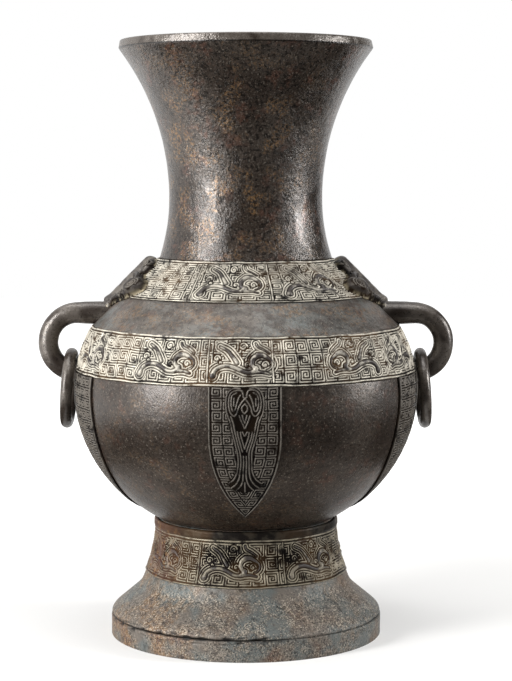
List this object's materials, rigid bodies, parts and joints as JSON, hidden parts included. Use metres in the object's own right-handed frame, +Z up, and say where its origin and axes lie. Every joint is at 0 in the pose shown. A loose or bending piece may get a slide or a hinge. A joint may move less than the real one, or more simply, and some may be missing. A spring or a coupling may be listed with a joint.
{
  "type": "bronze hu vessel",
  "caption": "Footed bronze wine vessel with a trumpet neck, round belly, ornamented bands, raised cicada blades and beast-mask handles that hold loose rings.",
  "frame": {"origin": "middle of the foot ring, on the floor", "axes": "+Z up the vessel's axis, X through the two handles, -Y towards the viewer of the picture"},
  "size_m": [0.2462, 0.2036, 0.35],
  "materials": {
    "cast_wall": "cast bronze with a dark brown patina and ochre mottling",
    "corroded_foot": "cast bronze with grey-green and pinkish granular corrosion",
    "relief_bands": "cast relief with pale rubbed threads over dark grounds",
    "relief_blades": "cast relief with grey threads over near-black grounds",
    "handle_bar": "smooth rubbed bronze with a dark brown patina"
  },
  "bodies": {
    "vessel": {"foot_ring": "corroded_foot", "foot": "corroded_foot", "foot_band": "relief_bands", "belly": "cast_wall", "bottom_plate": "cast_wall", "belly_band": "relief_bands", "shoulder": "cast_wall", "shoulder_band": "relief_bands", "neck": "cast_wall", "lappet_front": "relief_blades", "lappet_back": "relief_blades", "lappet_left": "relief_blades", "lappet_right": "relief_blades", "left_mask": "relief_blades", "right_mask": "relief_blades", "left_loop": "handle_bar", "right_loop": "handle_bar"},
    "left_ring": {"left_ring": "handle_bar"},
    "right_ring": {"right_ring": "handle_bar"}
  },
  "joints": [
    {"name": "left_ring_swing", "type": "hinge", "parent": "vessel", "child": "left_ring", "pos_m": [-0.10345, 0, 0.16625], "axis": [0, 1, 0], "range_deg": [0, 150]},
    {"name": "right_ring_swing", "type": "hinge", "parent": "vessel", "child": "right_ring", "pos_m": [0.10345, 0, 0.16625], "axis": [0, -1, 0], "range_deg": [0, 150]}
  ]
}
